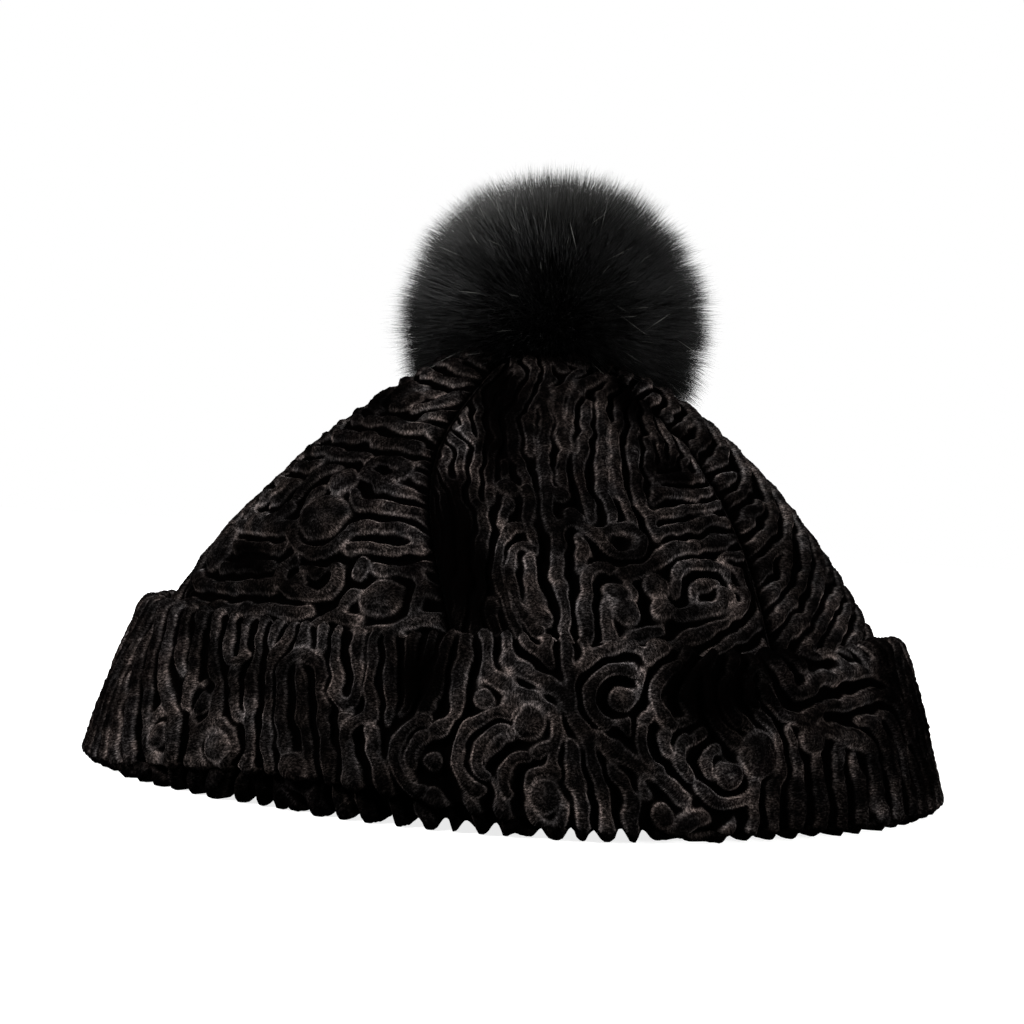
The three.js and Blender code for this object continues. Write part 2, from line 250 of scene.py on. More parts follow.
def blurred(field, reach):
    """A field, softened over a reach in millimetres; its edges meet, as on a band."""
    fy = np.fft.fftfreq(field.shape[0], STEP)[:, None]
    fx = np.fft.fftfreq(field.shape[1], STEP)[None, :]
    keep = np.exp(-2 * (math.pi * reach) ** 2 * (fx**2 + fy**2))
    return np.fft.ifft2(np.fft.fft2(field) * keep).real


def cloud(shape, reach, rng):
    """Soft random patches of a given reach, with a spread of one."""
    patches = blurred(rng.standard_normal(shape), reach)
    return patches / patches.std()


print("points on each square centimetre of pelt:", round((10 / STEP) ** 2))

# %% [markdown]
# A charted curl is a middle line, which is a point, a piece of an ellipse or a straight bar, with a size. Two things
# are asked of it at every place on the pelt: how far its middle line is, and which way the ridges run beside it.

# %% How far from a charted curl
def from_knob(knob, dx, dy):
    """How far points are from a knob's middle, and which way ridges run round it."""
    return np.hypot(dx, dy), np.arctan2(dy, dx) + math.pi / 2


def from_bow(bow, dx, dy):
    """How far points are from a piece of an ellipse, and which way it runs."""
    middle = math.radians(bow["start"] + bow["end"]) / 2
    half = math.radians(bow["end"] - bow["start"]) / 2
    turn = np.arctan2(dy * bow["wide"], dx * bow["tall"]) - middle
    turn = (turn + math.pi) % (2 * math.pi) - math.pi
    turn = middle + np.clip(turn, -half, half)
    aside, up = np.cos(turn), np.sin(turn)
    return np.hypot(dx - bow["wide"] * aside, dy - bow["tall"] * up), np.arctan2(
        bow["tall"] * aside, -bow["wide"] * up
    )


def from_bar(bar, dx, dy):
    """How far points are from a straight bar, and which way it runs."""
    lean = math.radians(bar["lean"])
    along = np.clip(dx * math.cos(lean) + dy * math.sin(lean), -bar["length"] / 2, bar["length"] / 2)
    return np.hypot(dx - along * math.cos(lean), dy - along * math.sin(lean)), lean + 0 * dx


CHARTS = [
    {"kind": "knobs", "columns": KNOB, "measure": from_knob, "firm": 1},
    {"kind": "bows", "columns": BOW, "measure": from_bow, "firm": 1},
    {"kind": "bars", "columns": BAR, "measure": from_bar, "firm": 0.4},
]
print("from a place 2 mm beside a bar:", from_bar({"lean": 0, "length": 8}, 1.0, 2.0)[0], "mm")

# %% [markdown]
# A ridge has no front or back: one that runs at 10 degrees also runs at 190. So directions are mixed as doubled
# angles, whose cosines and sines can be added up, and are halved again in the end. Guides set the direction of an
# area, and each charted curl pulls the ridges near it round its own line. It also writes its own form, a rounded
# crest between two valleys, and how firmly that form is kept.

# %% Which way the ridges run
PULL = 3
PULL_REACH = 5.5
CURL_SPREAD = 1.1
SLOPE_GAP = 1.0
HOLD_FADE = 0.75


def pelt_grid(width, height, foot):
    """Where a patch's points lie on the flat pelt."""
    x = (np.arange(round(width / STEP)) + 0.5) * STEP - width / 2
    y = (np.arange(round(height / STEP)) + 0.5) * STEP + foot
    return np.meshgrid(x, y)


def lay_guides(pelt, x, y):
    """Which way the ridges run, how coarse they are and how loose, by the pelt's guides."""
    flow = math.radians(pelt["flow"])
    level, steep = np.full(x.shape, math.cos(2 * flow)), np.full(x.shape, math.sin(2 * flow))
    coarse, loose = np.full(x.shape, pelt["coarse"]), np.full(x.shape, pelt["loose"])
    for guide in named(GUIDE, pelt["guides"]):
        near = np.exp(-(((x - guide["x"]) / guide["wide"]) ** 2) - ((y - guide["y"]) / guide["tall"]) ** 2)
        flow = math.radians(guide["flow"])
        level += near * (math.cos(2 * flow) - level)
        steep += near * (math.sin(2 * flow) - steep)
        coarse += near * (guide["coarse"] - coarse)
        loose += near * (guide["loose"] - loose)
    return np.arctan2(steep, level) / 2, coarse, loose


def lay_charts(pelt, x, y, angle):
    """The direction with the charted curls in it, their own form, and how firmly it is kept."""
    level, steep = np.cos(2 * angle), np.sin(2 * angle)
    form, hold = np.full(x.shape, -1.0), np.zeros(x.shape)
    for chart in CHARTS:
        for curl in named(chart["columns"], pelt[chart["kind"]]):
            far, run = chart["measure"](curl, x - curl["x"], y - curl["y"])
            pull = PULL * np.exp(-((far / (curl["size"] + PULL_REACH)) ** 2))
            level += pull * np.cos(2 * run)
            steep += pull * np.sin(2 * run)
            out = far / (CURL_SPREAD * curl["size"] + SLOPE_GAP)
            fullness = 1.2 + curl["size"] / 4
            form = np.maximum(form, np.cos(math.pi * np.clip(out, 0, 1) ** fullness))
            hold = np.maximum(hold, chart["firm"] * (1 - smooth_step(out, HOLD_FADE, 1.0)))
    return np.arctan2(steep, level) / 2, form, hold


print("a knob of 3 mm pulls the ridges round it as far out as", 3 + PULL_REACH, "mm")

# %% [markdown]
# The filters are waves of a few pitches in twelve directions. Each place takes the waves that fit its own direction
# and coarseness. Where the pelt is loose, it also takes waves of that pitch in any direction, and these make coils.
# After each round the ridges are brought to an even strength, and the charted curls are set back in.

# %% Filtering noise into ridges
DIRECTIONS = 12
FOCUS = 24
DIRECTED_SHARE = 0.55
LOOSE_SPREAD = 0.3
PITCH_SPREAD = 0.28
ALONG_SPREAD = 0.27
ROUNDS = 22
ROUND_CONTRAST = 1.4
ROUND_EVENING = 6.0


def waves_and_shares(angle, loose, coarse, pitches):
    """The filters, one for each direction and pitch, and how much each counts at each place."""
    fy = np.fft.fftfreq(angle.shape[0], STEP)[:, None]
    fx = np.fft.fftfreq(angle.shape[1], STEP)[None, :]
    parts = [np.clip(1 - np.abs(coarse - number), 0, 1) for number in range(len(pitches))]
    pairs = []
    for pitch, part in zip(pitches, parts):
        wave = np.exp(-(((np.hypot(fx, fy) * pitch - 1) / LOOSE_SPREAD) ** 2) / 2)
        pairs.append((wave, loose * part))
    for number in range(DIRECTIONS):
        way = math.pi * number / DIRECTIONS
        across = np.abs(fy * math.cos(way) - fx * math.sin(way))
        along = fx * math.cos(way) + fy * math.sin(way)
        share = DIRECTED_SHARE * (1 - loose) * np.abs(np.cos(angle - way)) ** FOCUS
        for pitch, part in zip(pitches, parts):
            off_pitch = ((across * pitch - 1) / PITCH_SPREAD) ** 2
            off_way = (along * pitch / ALONG_SPREAD) ** 2
            pairs.append((np.exp(-off_pitch / 2 - off_way / 2), share * part))
    return pairs


def filtered(field, pairs, form, hold):
    """Noise, filtered until only ridges are left, with the charted curls set in."""
    total = sum(share for _, share in pairs) + 1e-6
    for _ in range(ROUNDS):
        spectrum = np.fft.fft2(field)
        field = sum(share * np.fft.ifft2(spectrum * wave).real for wave, share in pairs) / total
        field = np.tanh(ROUND_CONTRAST * field / (np.sqrt(blurred(field**2, ROUND_EVENING)) + TINY))
        field = field * (1 - hold) + form * hold
    return field


print("filters for three pitches:", 3 * (1 + DIRECTIONS))

# %% [markdown]
# What has grown is a flat drawing of ridges, all equally high. Real curls have full, rounded crests with narrow
# valleys, swell from place to place, wriggle a little, and differ in tone at random; some areas also get painted
# shade.
# Each of these is a layer of its own on the same grid, so that the skin and its finish can both read them.

# %% A patch of pelt
WANDER_REACH = (9.0, 4.0)
FINE_WANDER = 0.6
COARSE_CLOUD = 0.35
COARSE_REACH = 12.0
SOFTEN = 0.55
CREST_EVENING = 7.0
CREST_GAIN = 1.2
UNEVEN = 0.08
UNEVEN_REACH = 3.0
CREST_SOFTEN = 0.4
VALLEY_POWER = 1.4
CREST_SHARE = 0.4
SWELL_SHARE = 0.9
SWELL_REACH = 1.4
WRIGGLE = 0.45
WRIGGLE_REACH = 1.6
DIMMEST = 0.45
LIGHT_REACH = 4.5


def pelt_tone_and_painted_shade(pelt, x, y, rng):
    """How bright the hair is painted: random patches of tone, and the charted areas of painted shade."""
    light = DIMMEST + (1 - DIMMEST) * smooth_step(cloud(x.shape, LIGHT_REACH, rng), -1.3, 0.7)
    for dark in named(SHADOW, pelt["shadows"]):
        reach = ((x - dark["x"]) / dark["wide"]) ** 2 + ((y - dark["y"]) / dark["tall"]) ** 2
        light *= 1 - dark["depth"] * np.exp(-(reach**2))
    return light


def grow_curls(width, height, foot, pelt):
    """A patch of pelt: the ridges, from -1 in the valleys to 1 on the crests, and the layers that go with them."""
    rng = np.random.default_rng(pelt["seed"])
    x, y = pelt_grid(width, height, foot)
    shape = x.shape
    angle, coarse, loose = lay_guides(pelt, x, y)
    wander = cloud(shape, WANDER_REACH[0], rng) + FINE_WANDER * cloud(shape, WANDER_REACH[1], rng)
    angle, form, hold = lay_charts(pelt, x, y, angle + math.radians(pelt["wander"]) * wander)
    coarse = coarse + COARSE_CLOUD * cloud(shape, COARSE_REACH, rng)
    coarse = np.clip(coarse, 0, len(pelt["pitches"]) - 1)
    pairs = waves_and_shares(angle, loose, coarse, pelt["pitches"])
    field = blurred(filtered(rng.standard_normal(shape), pairs, form, hold), SOFTEN)
    field = field / (np.sqrt(2 * blurred(field**2, CREST_EVENING)) + TINY) / CREST_GAIN
    field += UNEVEN * cloud(shape, UNEVEN_REACH, rng)
    field = np.clip(field * (1 - hold**3) + form * hold**3, -1, 1)
    ridge = 1 - ((1 - np.clip(blurred(field, CREST_SOFTEN), -1, 1)) / 2) ** VALLEY_POWER
    rise = CREST_SHARE * ridge + SWELL_SHARE * blurred(ridge, SWELL_REACH)
    wriggle = WRIGGLE * cloud(shape, WRIGGLE_REACH, rng) * (1 - 0.5 * hold)
    # light: random tone, with the charted painted shade on top; it only dims the finish
    light = pelt_tone_and_painted_shade(pelt, x, y, rng)
    layers = {"wave": field, "rise": rise, "wriggle": wriggle, "light": light}
    layers |= {"way_x": np.cos(2 * angle), "way_y": np.sin(2 * angle)}
    return layers | {"width": width, "foot": foot}


print("half way up a curl's flank, the skin has", round(1 - 0.5**VALLEY_POWER, 2), "of its height")

# %% [markdown]
# A skin's points lie between the grid's points, so a layer is read by weighing the four nearest ones. Each place is
# first shifted by the wriggles, which bends every curl by a fraction of a millimetre.

# %% Reading a patch
WRIGGLE_ASIDE = 31.0


def sample(patch, layer, x, y):
    """A layer's value at places on the pelt, between its grid points; x wraps round."""
    field = patch[layer]
    column = (x + patch["width"] / 2) / STEP - 0.5
    row = np.clip((y - patch["foot"]) / STEP - 0.5, 0, field.shape[0] - 1.001)
    left, low = np.floor(column).astype(int), np.floor(row).astype(int)
    u, v = column - left, row - low
    right = (left + 1) % field.shape[1]
    left = left % field.shape[1]
    bottom = field[low, left] * (1 - u) + field[low, right] * u
    top = field[low + 1, left] * (1 - u) + field[low + 1, right] * u
    return bottom * (1 - v) + top * v


def read_curls(patch, x, y):
    """The curls' height, from 0 to 1, and what the finish needs to know, at places on the pelt."""
    shift = sample(patch, "wriggle", x, y)
    other = sample(patch, "wriggle", x + WRIGGLE_ASIDE, y)
    x, y = x + shift, y + other
    told = {key: sample(patch, key, x, y) for key in ("wave", "light", "way_x", "way_y")}
    told |= {"pelt_x": x, "pelt_y": y}
    return sample(patch, "rise", x, y), told


print("layers that the finish reads:", ["wave", "light", "way_x", "way_y", "pelt_x", "pelt_y"])

# %% [markdown]
# A skin is one operator's grid, bent into place. The grid is closed into a tube by welding its first and last
# columns, and its open ends are filled, so each skin is a closed body with a curled outside and a plain inside. What
# the finish needs to know, how high a point lies on its curl and whether it is inside the cap, is kept on the points.

# %% From a grid to a closed skin
WELD = 1e-7


def make_skin(name, points, values, closed_ends):
    """A closed mesh from rows of points in millimetres; the last column meets the first."""
    rows, columns = points.shape[0], points.shape[1]
    points = np.concatenate([points, points[:, :1]], axis=1) * MM
    values = {key: np.concatenate([value, value[:, :1]], axis=1) for key, value in values.items()}
    if not closed_ends:
        points = np.concatenate([points, points[:1]], axis=0)
        values = {key: np.concatenate([value, value[:1]], axis=0) for key, value in values.items()}
        rows += 1
    bm = bmesh.new()
    bmesh.ops.create_grid(bm, x_segments=columns, y_segments=rows - 1, size=1)
    mesh = bpy.data.meshes.new(name)
    bm.to_mesh(mesh)
    bm.free()
    flat = np.empty(len(mesh.vertices) * 3, np.float32)
    mesh.vertices.foreach_get("co", flat)
    flat = flat.reshape(-1, 3)
    column = np.rint((flat[:, 0] + 1) / 2 * columns).astype(int)
    row = np.rint((flat[:, 1] + 1) / 2 * (rows - 1)).astype(int)
    mesh.vertices.foreach_set("co", points[row, column].astype(np.float32).ravel())
    for key, value in values.items():
        layer = mesh.attributes.new(key, "FLOAT", "POINT")
        layer.data.foreach_set("value", value[row, column].astype(np.float32))
    bm = bmesh.new()
    bm.from_mesh(mesh)
    bmesh.ops.remove_doubles(bm, verts=bm.verts, dist=WELD)
    rim = [edge for edge in bm.edges if edge.is_boundary]
    if rim:
        filled = bmesh.ops.holes_fill(bm, edges=rim, sides=0)["faces"]
        bmesh.ops.triangulate(bm, faces=filled, ngon_method="EAR_CLIP")
    bmesh.ops.recalc_face_normals(bm, faces=bm.faces)
    for face in bm.faces:
        face.smooth = True
    bm.to_mesh(mesh)
    bm.free()
    triangles = sum(len(face.vertices) - 2 for face in mesh.polygons)
    print(name, "triangles", triangles)
    return add(name, mesh)


def normals_of(points, wraps):
    """Unit normals of a grid of points, by the slopes along its rows and columns."""
    if wraps:
        along = np.roll(points, -1, axis=1) - np.roll(points, 1, axis=1)
        up = np.roll(points, -1, axis=0) - np.roll(points, 1, axis=0)
    else:
        along = np.gradient(points, axis=1)
        up = np.gradient(points, axis=0)
    normal = np.cross(along, up)
    return normal / (np.linalg.norm(normal, axis=-1, keepdims=True) + 1e-12)


print("points closer than", WELD, "m are welded")

# %% [markdown]
# Each gore is cut from a flat piece of pelt, so its curls keep their size while the gore narrows, and its seams cut
# straight through them. The same is done here: the curls are grown on a flat patch and read at the place that each
# point of the gore had before it was sewn. The gore swells between its seams and is pinched along them.

# %% Sizes and pelts of the gores
GORE_FOOT = 32.0
SEAM_SETTLED = 0.55
SEAM_GAP = 0.6
PUFF = 2.5
TIE_HOLE = 4.5
SEAM_REACH = 1.6
SEAM_DEPTH = 1.1
CURL_DEPTH = 4.3
CURL_MIDDLE = 0.7
GORE_LENGTH = 118
GORE_GIRTH = 92
LINING_COLUMNS = 10
PATCH_WIDTH = 120.0
PATCH_HEIGHT = 132.0
PATCH_FOOT = -4.0
FUZZ = 0.09
GORES = [
    {"name": "gore_front", "foot": -9, "top": -26, "fine": 0.62},
    {"name": "gore_right", "foot": 40, "top": 50, "fine": 0.66},
    {"name": "gore_back_right", "foot": 108, "top": 114, "fine": 0.8},
    {"name": "gore_back", "foot": 168, "top": 168, "fine": 0.8},
    {"name": "gore_back_left", "foot": 220, "top": 216, "fine": 0.8},
    {"name": "gore_left", "foot": 285, "top": 272, "fine": 0.66},
]
PLAIN = {"wander": 18, "pitches": (4.6, 6.2, 8.6), "coarse": 0.9, "loose": 0.25}
PLAIN |= {"guides": [], "knobs": [], "bows": [], "bars": [], "shadows": []}
FRONT_CHARTS = {"knobs": GORE_FRONT_KNOBS, "bows": GORE_FRONT_BOWS, "bars": GORE_FRONT_BARS}
FRONT_CHARTS |= {"guides": GORE_FRONT_GUIDES, "shadows": GORE_FRONT_SHADOWS}
LEFT_CHARTS = {"knobs": GORE_LEFT_KNOBS, "bows": GORE_LEFT_BOWS, "bars": GORE_LEFT_BARS}
LEFT_CHARTS |= {"shadows": GORE_LEFT_SHADOWS}
FRONT_PELT = {"seed": 11, "flow": 90, "pitches": (3.8, 5.2, 7.4), "coarse": 0.6, "loose": 0.15}
RIGHT_PELT = {"seed": 23, "flow": 38, "pitches": (4.8, 6.0, 7.6), "loose": 0.04, "wander": 9}
LEFT_PELT = {"seed": 61, "flow": 2, "wander": 30, "coarse": 1.2, "loose": 0.45}
PELTS = {
    "gore_front": PLAIN | FRONT_PELT | FRONT_CHARTS,
    "gore_right": PLAIN | RIGHT_PELT,
    "gore_back_right": PLAIN | {"seed": 31, "flow": 70},
    "gore_back": PLAIN | {"seed": 47, "flow": 95},
    "gore_back_left": PLAIN | {"seed": 53, "flow": 120},
    "gore_left": PLAIN | LEFT_PELT | LEFT_CHARTS,
}
print("pelts:", {name: (pelt["seed"], pelt["flow"]) for name, pelt in PELTS.items()})

# %% [markdown]
# A gore is bounded by two seams, which run up the crown and drift sideways over its lower half. Its smooth outer and
# inner sheets come first. Lengths along its rows and up its middle then give the place on the flat pelt that each
# point had before the sewing.

# %% A gore before its curls
def seam_turn(index, rise):
    gore = GORES[index % len(GORES)]
    settled = smooth_step(rise, 0, SEAM_SETTLED)
    turn = gore["foot"] + (gore["top"] - gore["foot"]) * settled + 360 * (index // len(GORES))
    return np.radians(turn)


def gore_sheets(index):
    """How far up and across each point lies, from 0 to 1, and the smooth outer and inner sheets."""
    low = math.asin((GORE_FOOT / CROWN_HEIGHT) ** (CROWN_POWER / 2))
    high = math.acos((TIE_HOLE / CROWN_WIDTH) ** (CROWN_POWER / 2))
    fine = GORES[index]["fine"]
    rise = np.linspace(0, 1, round(GORE_LENGTH / fine))[:, None]
    across = np.linspace(0, 1, round(GORE_GIRTH / fine))[None, :]
    climb = low + (high - low) * rise
    margin = SEAM_GAP / 2 / (CROWN_WIDTH / 2 * np.cos(climb) ** (2 / CROWN_POWER))
    left, right = seam_turn(index, rise) + margin, seam_turn(index + 1, rise) - margin
    outside = dome(climb, left + (right - left) * across)
    back = np.linspace(1, 0, LINING_COLUMNS)[None, :]
    inside = dome(climb, left + (right - left) * back, PELT)
    inside[..., 2] = np.maximum(inside[..., 2], GORE_FOOT)
    return rise, across, outside, inside


def flat_places(outside):
    """Where a gore's points were on the flat pelt: aside from its middle line, and up from its foot."""
    steps = np.linalg.norm(np.diff(outside, axis=1), axis=2)
    along = np.concatenate([np.zeros((len(outside), 1)), np.cumsum(steps, axis=1)], axis=1)
    along -= along[:, -1:] / 2
    middle = outside[:, outside.shape[1] // 2]
    up = np.concatenate([[0], np.cumsum(np.linalg.norm(np.diff(middle, axis=0), axis=1))])[:, None]
    return along, np.broadcast_to(up, along.shape)


aside, up = flat_places(gore_sheets(0)[2])
print("front gore on the flat:", round(2 * aside.max()), "mm wide at its foot,", round(up.max()), "mm long")

# %% [markdown]
# Now the curls are read at those places and lift the outer sheet along its normals. They fade out towards the seams,
# which sink in and are given painted shade. A touch of random height on the crests breaks their outline as short hair
# does.

# %% The gores of the crown
def make_gore(index):
    gore = GORES[index]
    rise, across, outside, inside = gore_sheets(index)
    along, up = flat_places(outside)
    patch = grow_curls(PATCH_WIDTH, PATCH_HEIGHT, PATCH_FOOT, PELTS[gore["name"]])
    curl, told = read_curls(patch, along, up)
    to_seam = np.abs(along[:, -1:]) - np.abs(along)
    seam = np.exp(-((to_seam / SEAM_REACH) ** 2))
    puff = PUFF * np.sin(math.pi * across) * np.sqrt(np.sin(math.pi * np.clip(rise, 0, 1)))
    lift = puff + CURL_DEPTH * (curl - CURL_MIDDLE) * (1 - seam) - SEAM_DEPTH * seam
    lift = lift + FUZZ * np.random.default_rng(index).standard_normal(lift.shape) * curl
    outside = outside + normals_of(outside, False) * lift[..., None]
    # Painted shade: the lit hair fades out towards the seams, so the pinched seams turn valley black.
    told["light"] = told["light"] * (1 - seam)
    told["inside"] = np.zeros_like(curl)
    points = np.concatenate([outside, inside], axis=1)
    lining = np.zeros((len(points), LINING_COLUMNS))
    values = {key: np.concatenate([told[key], lining + (key == "inside")], axis=1) for key in told}
    skin = make_skin(gore["name"] + "_curls", points, values, True)
    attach(skin, "root")
    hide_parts(gore["name"])
    return skin


gores = [make_gore(index) for index in range(len(GORES))]

# %% [markdown]
# The cuff is one strip, folded at the bottom and turned up round the crown. Its section is a short table that goes
# once round: up the curled face, over the upper hem, down the hidden side of the turned-up layer, round the inner
# layer, and along the fold that the cap stands on. At the front left the outer layer rides up as a lip and shows the
# fold's own curls beneath it, so each corner also says how much the lip lifts it or sets it back.

# %% The cuff's section
CUFF_HEIGHT = 47.0
CUFF_FLARE_X = 0.3
CUFF_FLARE_Y = 0.24
OUTER_LAYER = 6.0
LAYER_GAP = 2.0
FOLD_INSET = 1.6
FOLD_HEIGHT = 7.0
LIP_LIFT = 7.0
LIP_RECESS = 2.5
LIP_MIDDLE = math.radians(-28)
LIP_SPREAD = math.radians(44)
INNER_LAYER = OUTER_LAYER + LAYER_GAP
LINING = INNER_LAYER + PELT
GORE_SEAM = GORE_FOOT - 0.3
SECTION = ("inset", "recess", "height", "lift", "steps", "fur", "inside")
CUFF_SECTION = [
    (0.0, 0, 2.6, 1, 20, 1, 0),
    (0.0, 0, 14.0, 0.5, 28, 1, 0),
    (0.0, 0, 32.0, 0, 20, 1, 0),
    (1.0, 0, CUFF_HEIGHT - 2.6, 0, 5, 1, 0),
    (3.2, 0, CUFF_HEIGHT - 0.8, 0, 5, 1, 0),
    (5.6, 0, CUFF_HEIGHT - 3.5, 0, 5, 0.5, 0),
    (OUTER_LAYER, 0, 30.0, 0, 2, 0, 1),
    (OUTER_LAYER, 0, FOLD_HEIGHT, 0, 1, 0, 1),
    (INNER_LAYER, 0, FOLD_HEIGHT, 0, 2, 0, 1),
    (INNER_LAYER, 0, GORE_SEAM, 0, 1, 0, 1),
    (LINING, 0, GORE_SEAM, 0, 5, 0, 1),
    (LINING, 0, 3.5, 0, 3, 0, 1),
    (LINING - 2.5, 0, 1.4, 0, 4, 0.5, 0),
    (2 * FOLD_INSET, 1, 1.4, 0, 4, 1, 0),
    (FOLD_INSET, 1, 3.0, 0.3, 6, 1, 0),
    (FOLD_INSET, 1, 3.2, 1, 4, 0.6, 0),
]


def lip_shape(turn):
    away = np.minimum(1, np.abs(turn - LIP_MIDDLE) / LIP_SPREAD)
    return np.cos(away * math.pi / 2) ** 2


def cuff_section(lip):
    """The section's corners at each station round the cuff, with the lip's share worked in."""
    corners = named(SECTION, CUFF_SECTION)
    for corner in corners:
        corner["inset"] = corner["inset"] + LIP_RECESS * lip * corner["recess"]
        corner["height"] = corner["height"] + LIP_LIFT * lip * corner["lift"]
    return corners


def walked(corners, key):
    """What the section says at each step of the way from corner to corner."""
    told = []
    for corner, following in zip(corners, corners[1:] + corners[:1]):
        for share in np.arange(corner["steps"]) / corner["steps"]:
            told.append(corner[key] * (1 - share) + following[key] * share)
    return np.array(told)


def softened(values, rounds):
    """Rounds a closed section by averaging each point with its neighbours."""
    for _ in range(rounds):
        values = (np.roll(values, 1, axis=0) + 2 * values + np.roll(values, -1, axis=0)) / 4
    return values


print("steps once round the section:", sum(corner["steps"] for corner in named(SECTION, CUFF_SECTION)))

# %% [markdown]
# The stations round the cuff stand closer together at the front, where the camera looks, so that the same number of
# triangles shows finer curls there. They are measured along the pelt, because the curls are charted along it.

# %% Stations round the cuff
CUFF_STATIONS = 840
FRONT_FINER = 0.25
PELT_RING = {"inset_x": 7, "inset_y": 6, "height": 25.0}


def cuff_stations():
    """The girth of the pelt, where each station lies along it, and which way it faces."""
    fine = np.linspace(-math.pi, math.pi, 4001)
    half_width, half_depth = RIM_WIDTH / 2 - PELT_RING["inset_x"], RIM_DEPTH / 2 - PELT_RING["inset_y"]
    ring = oval(half_width, half_depth, PELT_RING["height"], fine)
    length = np.concatenate([[0], np.cumsum(np.linalg.norm(np.diff(ring, axis=0), axis=1))])
    girth = length[-1]
    share = np.linspace(-0.5, 0.5, CUFF_STATIONS, endpoint=False)
    along = girth * (share - FRONT_FINER * np.sin(2 * math.pi * share) / (2 * math.pi))
    return girth, along, np.interp(along + girth / 2, length, fine)


print("girth of the cuff's pelt:", round(cuff_stations()[0]), "mm")

# %% [markdown]
# The section is carried round the oval, narrowing upwards as the crown does. Its upper edge sways a little, as a hem
# turned by hand does. Curls then lift it where the table says that it is fur, more so under the lip, where the fold's
# own curls are loose and are given painted shade. Nothing reaches below the table top.

# %% The cuff
BAND = 78.0
BAND_FOOT = -15.0
SECTION_ROUNDS = 5
CURL_REACH = 0.9
SWAY_REACH = 11.0
SWAY_HEIGHT = 0.7
SWAY_INSET = 0.5
SWAY_SHIFT = 40
SWAY_FROM, SWAY_FULL = 30, 46
CUFF_SEED = 5
CUFF_CURL_MIDDLE = 0.68
UNDER_LIP_DEEPER = 0.5
UNDER_LIP_PAINTED_SHADE = 0.55
CUFF_PELT = PLAIN | {"seed": 7, "flow": 92, "pitches": (4.1, 5.5, 7.6), "wander": 12, "loose": 0.2}
CUFF_PELT |= {"guides": CUFF_GUIDES, "knobs": CUFF_KNOBS, "bows": CUFF_BOWS, "bars": CUFF_BARS}
CUFF_PELT |= {"shadows": CUFF_SHADOWS}


def cuff_form(corners, turn, sway):
    """The smooth closed strip, and how high up the pelt each of its points lies."""
    inset = softened(walked(corners, "inset"), SECTION_ROUNDS)
    height = softened(walked(corners, "height"), SECTION_ROUNDS)
    upper = smooth_step(height, SWAY_FROM, SWAY_FULL)
    height = height + upper * SWAY_HEIGHT * sway
    inset = inset - upper * SWAY_INSET * np.roll(sway, SWAY_SHIFT)
    ring_width = RIM_WIDTH / 2 - CURL_REACH - inset - CUFF_FLARE_X * height
    ring_depth = RIM_DEPTH / 2 - CURL_REACH - inset - CUFF_FLARE_Y * height
    points = oval(ring_width, ring_depth, height, turn[None, :])
    rise = np.linalg.norm(points - np.roll(points, 1, axis=0), axis=2)
    rise[0] = 0
    rise = np.cumsum(rise, axis=0)
    rise = np.where(rise > rise[-1] / 2, rise - rise[-1], rise)
    return points, rise + corners[0]["height"][None, :]


def make_cuff():
    girth, along, turn = cuff_stations()
    corners = cuff_section(lip_shape(turn))
    rng = np.random.default_rng(CUFF_SEED)
    sway = blurred(rng.standard_normal((1, CUFF_STATIONS)), SWAY_REACH)[0]
    points, rise = cuff_form(corners, turn, sway / sway.std())
    patch = grow_curls(girth, BAND, BAND_FOOT, CUFF_PELT)
    curl, told = read_curls(patch, np.broadcast_to(along, rise.shape), rise)
    hem = corners[0]["height"][None, :]
    under = smooth_step(-rise, 0.5 - hem, 2.0 - hem)
    fur = walked(corners, "fur")[:, None]
    lift = CURL_DEPTH * (1 + UNDER_LIP_DEEPER * under) * (curl - CUFF_CURL_MIDDLE)
    lift = (lift + FUZZ * rng.standard_normal(rise.shape) * curl) * fur
    points = points + normals_of(points, True) * lift[..., None]
    points[..., 2] = np.maximum(points[..., 2], 0.0)
    # Painted shade: under the lip the fold's curls are dimmed, as the lip overhangs them.
    told["light"] = told["light"] * fur * (1 - UNDER_LIP_PAINTED_SHADE * under)
    steps = [corner["steps"] for corner in corners]
    inside = np.repeat([float(corner["inside"]) for corner in corners], steps)
    values = told | {"inside": np.broadcast_to(inside[:, None], curl.shape)}
    skin = make_skin("cuff_curls", points, values, False)
    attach(skin, "root")
    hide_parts("cuff")
    return skin


cuff = make_cuff()

# %% [markdown]
# Long fur is made hair by hair, because a ball with bumps has a hard outline, and one with noise looks like moss.
# Blender's own hair would do as well, but the library keeps meshes. The hairs must not run through the crown, so the
# crown's form is written as one number for each place, which is 1 on its surface.

# %% Keeping clear of the crown
BALL_CENTRE = np.array([4.5, 36.0, 135.0])
BALL_RADIUS = 52.0
CORE_RADIUS = 30.0
CROWN_CLEARANCE = 4.2
SEAT_LOWER = 3
NUDGE = 0.1


def crown_depth(points):
    """Under one inside the crown, over one outside it."""
    x, y, z = points[..., 0], points[..., 1] - set_back(points[..., 2]), points[..., 2]
    wide = x / (CROWN_WIDTH / 2 + CROWN_CLEARANCE)
    deep = y / (CROWN_DEPTH / 2 + CROWN_CLEARANCE)
    aside = wide**2 / (wide**2 + deep**2 + TINY)
    round_reach = np.sqrt(wide**2 + (deep / (1 - END_DRAW * aside)) ** 2)
    return round_reach**CROWN_POWER + (z / (CROWN_HEIGHT + CROWN_CLEARANCE - SEAT_LOWER)) ** CROWN_POWER


def laid_on_crown(points):
    """Moves what would be inside the crown out to its surface."""
    for _ in range(4):
        here = crown_depth(points)
        slopes = [(crown_depth(points + NUDGE * axis) - here) / NUDGE for axis in np.eye(3)]
        slope = np.stack(slopes, axis=-1)
        short = np.maximum(0, 1 - here)
        points = points + slope * (short / (np.sum(slope**2, axis=-1) + TINY))[..., None]
    return points


